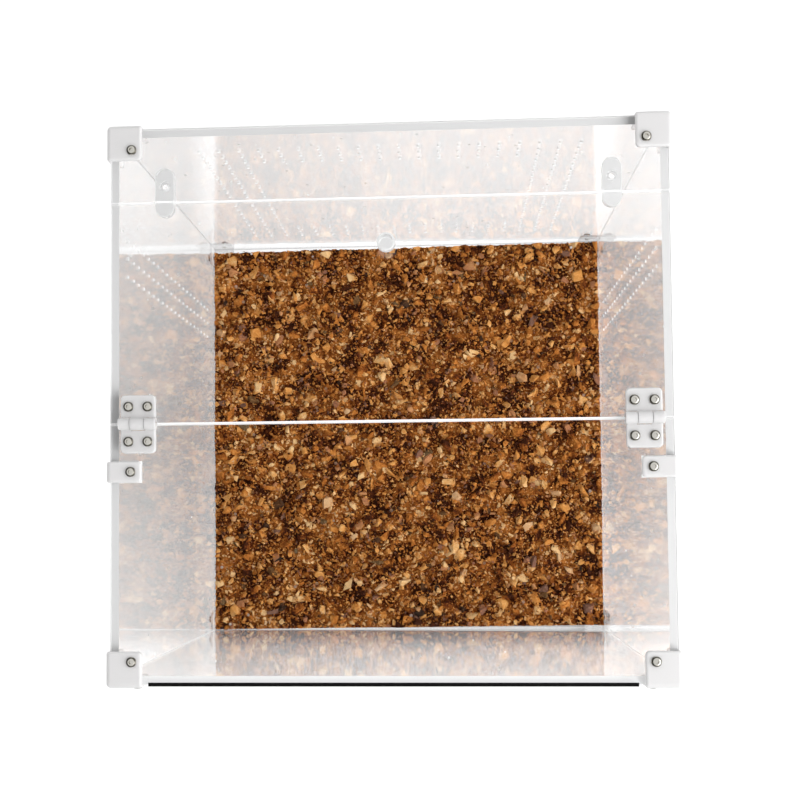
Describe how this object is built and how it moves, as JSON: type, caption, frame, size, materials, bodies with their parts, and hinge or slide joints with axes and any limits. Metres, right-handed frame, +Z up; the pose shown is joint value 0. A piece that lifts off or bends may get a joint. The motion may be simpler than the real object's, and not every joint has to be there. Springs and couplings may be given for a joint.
{
  "type": "ant habitat",
  "caption": "Clear square ant habitat with a hinged door in its top, turn latches, corner brackets, rows of vent holes and a floor of cork granulate.",
  "frame": {"origin": "on the surface that the feet stand on, under the middle of the case", "axes": "+Z up, front of the case faces -Y, +X to the right; the door hinges along X and opens towards the front"},
  "size_m": [0.3074, 0.3074, 0.312],
  "materials": {
    "clear_acrylic": "clear cast acrylic sheet with polished edges",
    "clear_knob": "clear acrylic, cut and turned, polished",
    "white_plastic": "moulded white plastic, slightly translucent, satin",
    "stainless_steel": "stainless steel, bright",
    "cork_granulate": "loose granulated cork bark in mixed browns",
    "black_rubber": "black rubber strip, matt"
  },
  "bodies": {
    "enclosure": {"floor_panel": "clear_acrylic", "back_panel": "clear_acrylic", "front_panel": "clear_acrylic", "left_side_panel": "clear_acrylic", "right_side_panel": "clear_acrylic", "top_rear_strip": "clear_acrylic", "top_front_panel": "clear_acrylic", "substrate_bed": "cork_granulate", "front_edge_strip": "black_rubber", "latch_stud_left": "clear_knob", "side_clip_left": "white_plastic", "hinge_fixed_leaf_left": "white_plastic", "hinge_pin_left": "stainless_steel", "latch_stud_right": "clear_knob", "side_clip_right": "white_plastic", "hinge_fixed_leaf_right": "white_plastic", "hinge_pin_right": "stainless_steel", "top_bracket_front_left": "white_plastic", "top_bracket_front_right": "white_plastic", "top_bracket_rear_left": "white_plastic", "top_bracket_rear_right": "white_plastic", "bottom_bracket_front_left": "white_plastic", "bottom_bracket_front_right": "white_plastic", "bottom_bracket_rear_left": "white_plastic", "bottom_bracket_rear_right": "white_plastic", "corner_screws": "stainless_steel", "floor_screws": "stainless_steel", "clip_screws": "stainless_steel", "hinge_screws_fixed": "stainless_steel"},
    "door": {"door_panel": "clear_acrylic", "door_knob": "clear_knob", "hinge_door_leaf_left": "white_plastic", "hinge_door_leaf_right": "white_plastic", "hinge_screws_door": "stainless_steel"},
    "latch_left": {"latch_left": "clear_knob"},
    "latch_right": {"latch_right": "clear_knob"}
  },
  "joints": [
    {"name": "door_hinge", "type": "hinge", "parent": "enclosure", "child": "door", "pos_m": [0, -0.0111, 0.3053], "axis": [1, 0, 0], "range_deg": [0, 170]},
    {"name": "latch_left_turn", "type": "hinge", "parent": "enclosure", "child": "latch_left", "pos_m": [-0.1194, 0.1171, 0.302], "axis": [0, 0, 1], "continuous": true},
    {"name": "latch_right_turn", "type": "hinge", "parent": "enclosure", "child": "latch_right", "pos_m": [0.1194, 0.1171, 0.302], "axis": [0, 0, 1], "continuous": true}
  ]
}
